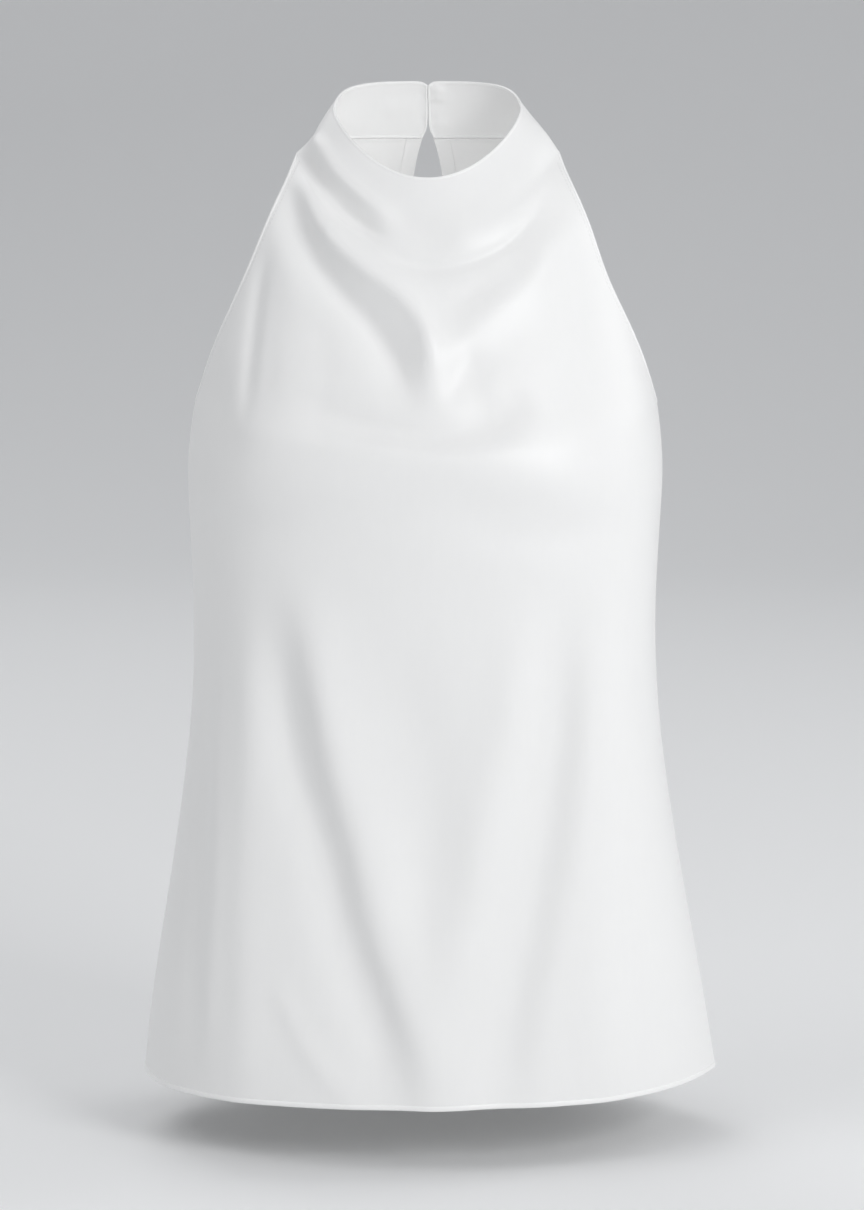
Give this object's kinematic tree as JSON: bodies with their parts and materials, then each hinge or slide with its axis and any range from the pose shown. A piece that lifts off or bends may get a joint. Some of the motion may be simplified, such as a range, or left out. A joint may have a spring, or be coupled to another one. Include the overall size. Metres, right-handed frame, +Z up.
{
  "type": "high neck top",
  "caption": "Sleeveless satin top with a draped high neck, deep armholes, a buttoned stand and a keyhole at the back, filled out as worn.",
  "frame": {"origin": "centre of the neck opening, level with the rim at the sides of the neck, where the wearer's neck and shoulders hold the top", "axes": "+Z up along the body, -Y out of the front, +X to the right as the front is looked at"},
  "size_m": [0.359, 0.2489, 0.6147],
  "materials": {
    "satin": "white satin with a soft sheen",
    "covered_button": "button covered in the same satin",
    "loop_cord": "fine corded thread"
  },
  "bodies": {
    "root": {"front": "satin", "back": "satin", "collar_left": "satin", "collar_right": "satin", "keyhole_facing": "satin", "button_upper": "covered_button", "button_lower": "covered_button", "loop_upper": "loop_cord", "loop_lower": "loop_cord"}
  },
  "joints": []
}
